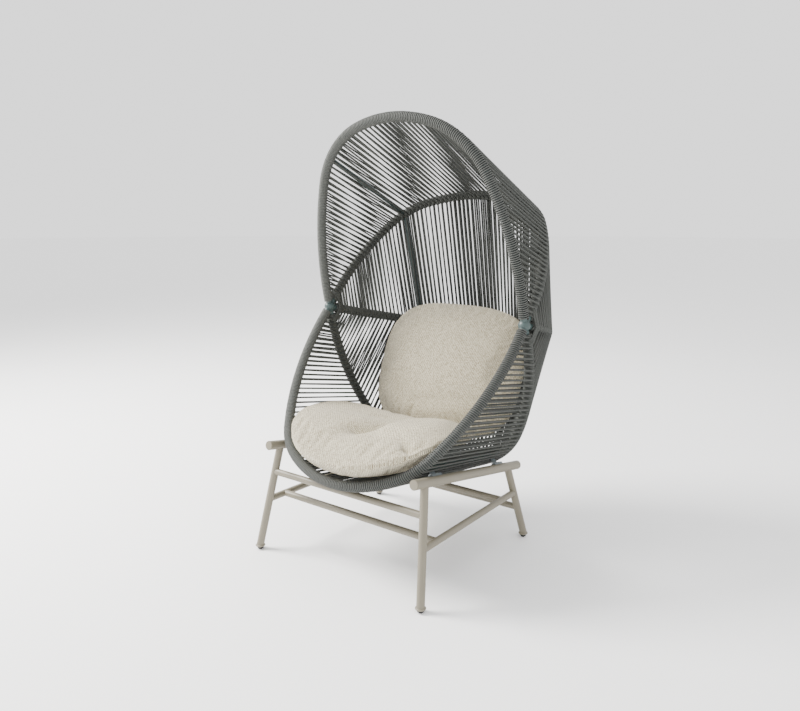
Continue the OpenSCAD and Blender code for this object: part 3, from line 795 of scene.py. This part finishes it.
def buildHubRopes():
    rng = np.random.default_rng(hubRope["seed"])
    paths = [endCoil(arch[name], left) for name in innerArches for left in (False, True)]
    for first, second in (("back", "waist"), ("waist", "lower")):
        for length in hubRope["lashings"]:
            for left in (False, True):
                strayed = length + rng.normal(0, hubRope["stray"])
                paths.append(lashing(arch[first], arch[second], strayed, left, rng))
    mesh = tubesMesh("hubLashings", paths, rope["strungWidth"] / 2, panel["sides"])
    addPiece("hubLashings", mesh, shadedCordMaterial, chairBody)


buildCoreCoils()
buildHubRopes()
print("arches and hubs bound")


# cushions

cushions = {
    "seat": {
        "piece": "seatCushionCover", "node": "seat_cushion", "body": "seat_cushion",
        "half": (0.299, 0.265, 0.060), "middle": (0, -0.2008, 0.3695), "tilt": -2,
        "rise": 0.071, "droop": 0.008, "planPower": 2 / 2.3, "fill": 0.6, "cap": 0.007, "shrink": -0.03,
        "corners": (),
        # place on the cover, reach along and across, turn in degrees, lift, how steep the edge is
        "dents": (
            ((-0.010, -0.047), (0.120, 0.030), 68, -0.026, 1.4),
            ((-0.034, -0.085), (0.030, 0.020), 20, -0.012, 1.6),
            ((0.213, -0.153), (0.034, 0.013), -28, -0.022, 1.4),
            ((0.248, -0.142), (0.042, 0.012), 52, -0.015, 1.4),
            ((0.140, 0.000), (0.115, 0.120), 0, 0.022, 5.0),
            ((-0.130, -0.080), (0.110, 0.110), 0, 0.010, 2.5),
            ((-0.060, 0.075), (0.080, 0.026), 30, -0.010, 1.5),
        ),
    },
    "back": {
        "piece": "backCushionCover", "node": "back_cushion", "body": "back_cushion",
        "half": (0.300, 0.241, 0.061), "middle": (0, 0.1612, 0.5577), "tilt": 69.5,
        "rise": -0.018, "droop": 0, "planPower": 2 / 3, "fill": 0.7, "cap": 0.006, "shrink": -0.008,
        # a corner that stands out: its direction and reach in degrees, and by how much of the cushion
        "corners": ((42, 24, 0.055),),
        "dents": (
            ((0.150, 0.120), (0.090, 0.050), 30, -0.005, 2.0),
            ((-0.120, -0.080), (0.080, 0.060), 0, -0.004, 2.0),
            ((0.020, -0.120), (0.120, 0.020), 8, -0.004, 1.5),
        ),
    },
}
stuffing = {
    "rings": 40,
    "turns": 160,
    "crownPower": 2 / 2.1,
    "voxel": 0.006,
    "quality": 6,
    "mass": 0.35,
    "stiffness": 18,
    "bending": 0.6,
    "pressure": 4.0,
    "frames": 20,
    "seamFrom": (2.2, 0.75),       # power and size of the rounded outline beyond which the seam is held
    "seamDrawn": 0.8,              # share of the half size beyond which it draws the cover in
    "seamWidth": 0.006,
    "seamDepth": 0.003,
    "shoulder": 0.5,               # share of the half height from which a dent is at its full depth
    "unrolling": (0.6, 0.05),      # how much of the drop is laid out flat, and the least reach
}


def power(value, exponent):
    return np.sign(value) * np.abs(value) ** exponent


def toFrame(given, local):
    lean = math.radians(given["tilt"])
    spun = np.stack([local[:, 0], local[:, 1] * math.cos(lean) - local[:, 2] * math.sin(lean),
                     local[:, 1] * math.sin(lean) + local[:, 2] * math.cos(lean)], -1)
    return spun + given["middle"]


def toLocal(given, points):
    lean = math.radians(given["tilt"])
    moved = points - given["middle"]
    return np.stack([moved[:, 0], moved[:, 1] * math.cos(lean) + moved[:, 2] * math.sin(lean),
                     moved[:, 2] * math.cos(lean) - moved[:, 1] * math.sin(lean)], -1)


def bowOf(given, x, y):
    return given["rise"] * x * x - given["droop"] * np.minimum(y, 0) ** 2


def cushionForm(given):
    halfX, halfY, halfZ = given["half"]
    turn = 2 * np.pi * np.arange(stuffing["turns"]) / stuffing["turns"]
    climb = np.radians(180 * np.arange(1, stuffing["rings"]) / stuffing["rings"] - 90)
    width = np.cos(climb)[:, None] ** stuffing["crownPower"]
    outline = np.ones(len(turn))
    for direction, reach, share in given["corners"]:
        outline += share * np.exp(-((np.degrees(turn) - direction) / reach) ** 2)
    x = (power(np.cos(turn), given["planPower"]) * outline)[None] * width
    y = (power(np.sin(turn), given["planPower"]) * outline)[None] * width
    z = halfZ * power(np.sin(climb), stuffing["crownPower"])[:, None] + bowOf(given, x, y)
    local = np.stack([halfX * x, halfY * y, z], -1).reshape(-1, 3)
    local = np.concatenate([[[0, 0, -halfZ]], local, [[0, 0, halfZ]]])
    n, rings = stuffing["turns"], stuffing["rings"] - 1
    faces = [[0, 1 + (i + 1) % n, 1 + i] for i in range(n)]
    for j in range(rings - 1):
        for i in range(n):
            a, b = 1 + j * n + i, 1 + j * n + (i + 1) % n
            faces.append([a, b, b + n, a + n])
    top = len(local) - 1
    faces += [[top, top - n + i, top - n + (i + 1) % n] for i in range(n)]
    return toFrame(given, local), faces


def pressed(given, points):
    # soft hollows and swellings of the side that is sat on
    local = toLocal(given, points)
    x, y = local[:, 0] / given["half"][0], local[:, 1] / given["half"][1]
    offPlane = local[:, 2] - bowOf(given, x, y)
    above = np.clip(offPlane / (stuffing["shoulder"] * given["half"][2]), 0, 1)
    for (placeX, placeY), (reachAlong, reachAcross), turn, lift, edge in given["dents"]:
        c, s = math.cos(math.radians(turn)), math.sin(math.radians(turn))
        along = ((local[:, 0] - placeX) * c + (local[:, 1] - placeY) * s) / reachAlong
        across = ((local[:, 1] - placeY) * c - (local[:, 0] - placeX) * s) / reachAcross
        local[:, 2] += lift * above * np.exp(-np.hypot(along, across) ** edge)
    # the seam draws the cover in all round its edge
    seam = np.clip(1 - np.abs(offPlane) / stuffing["seamWidth"], 0, 1)
    seam *= np.hypot(x, y) > stuffing["seamDrawn"]
    local[:, :2] -= unit(local[:, :2]) * (stuffing["seamDepth"] * seam)[:, None]
    return toFrame(given, local)


def pointsOf(mesh):
    points = np.empty(len(mesh.vertices) * 3)
    mesh.vertices.foreach_get("co", points)
    return points.reshape(-1, 3)


def evaluated(piece):
    return piece.evaluated_get(bpy.context.evaluated_depsgraph_get())


def evenMesh(piece):
    remesh = piece.modifiers.new("remesh", "REMESH")
    remesh.mode = "VOXEL"
    remesh.voxel_size = stuffing["voxel"]
    mesh = bpy.data.meshes.new_from_object(evaluated(piece))
    piece.modifiers.clear()
    piece.data = mesh


def holdSeam(piece, given, rest):
    local = toLocal(given, rest)
    x, y = local[:, 0] / given["half"][0], local[:, 1] / given["half"][1]
    near = np.abs(local[:, 2] - bowOf(given, x, y)) < stuffing["voxel"]
    exponent, size = stuffing["seamFrom"]
    rim = np.abs(x) ** exponent + np.abs(y) ** exponent > size
    seam = piece.vertex_groups.new(name="seam")
    seam.add([int(i) for i in np.nonzero(near & rim)[0]], 1.0, "REPLACE")


def blowUp(piece, given):
    # the cover is simulated as cloth under pressure, and how far it moves is capped
    rest = pointsOf(piece.data)
    holdSeam(piece, given, rest)
    modifier = piece.modifiers.new("cloth", "CLOTH")
    settings = modifier.settings
    settings.quality = stuffing["quality"]
    settings.mass = stuffing["mass"]
    settings.tension_stiffness = settings.compression_stiffness = stuffing["stiffness"]
    settings.bending_stiffness = stuffing["bending"]
    settings.use_pressure = True
    settings.uniform_pressure_force = stuffing["pressure"]
    settings.shrink_min = given["shrink"]
    settings.vertex_group_mass = "seam"
    settings.effector_weights.gravity = 0
    modifier.point_cache.frame_start, modifier.point_cache.frame_end = 1, stuffing["frames"]
    for step in range(1, stuffing["frames"] + 1):
        bpy.context.scene.frame_set(step)
    move = pointsOf(evaluated(piece).to_mesh()) - rest
    length = np.linalg.norm(move, axis=1, keepdims=True)
    move *= np.minimum(1, given["cap"] / np.maximum(length, 1e-9))
    piece.modifiers.clear()
    bpy.context.scene.frame_set(1)
    piece.data.vertices.foreach_set("co", pressed(given, rest + move).ravel())
    piece.data.update()


def layCloth(piece, given):
    # flat lengths on the two panels of the cover: the sides unroll outwards from the crown
    mesh = piece.data
    local = toLocal(given, pointsOf(mesh))
    x, y = local[:, 0] / given["half"][0], local[:, 1] / given["half"][1]
    drop = given["half"][2] - np.abs(local[:, 2] - bowOf(given, x, y))
    share, least = stuffing["unrolling"]
    reach = np.maximum(np.hypot(local[:, 0], local[:, 1]), least)
    flat = local[:, :2] * (1 + np.clip(drop, 0, None) * share / reach)[:, None]
    corners = np.empty(len(mesh.loops), np.int32)
    mesh.loops.foreach_get("vertex_index", corners)
    layer = mesh.uv_layers.new(name="laid")
    layer.uv.foreach_set("vector", flat[corners].astype(np.float32).ravel())
    mesh.shade_smooth()


def buildCushion(given):
    points, faces = cushionForm(given)
    mesh = meshFrom(given["piece"], points, faces)
    piece = bpy.data.objects.new(given["piece"], mesh)
    bpy.context.scene.collection.objects.link(piece)
    evenMesh(piece)
    blowUp(piece, given)
    piece.data.name = given["piece"]
    layCloth(piece, given)
    piece.data.materials.append(clothMaterial)
    smooth = piece.modifiers.new("soften", "SUBSURF")
    smooth.levels = smooth.render_levels = 1
    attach(piece, given["body"])
    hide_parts(given["node"])
    print(given["piece"], "made,", len(piece.data.vertices), "points")


for given in cushions.values():
    buildCushion(given)


# finishes of the carried-over nodes

finishOf = {
    frameMaterial: ("hub_", "_tube", "_strut_"),
    baseMaterial: ("rail_", "leg_", "stretcher_", "_bar", "collar_"),
    bracketMaterial: ("bracket_front", "bracket_rear"),
    steelMaterial: ("bracket_bolts",),
    glideMaterial: ("glide_",),
}
for name, node in nodes.items():
    for material, words in finishOf.items():
        if any(word in name for word in words):
            node.data.materials.clear()
            node.data.materials.append(material)
print("nodes finished")
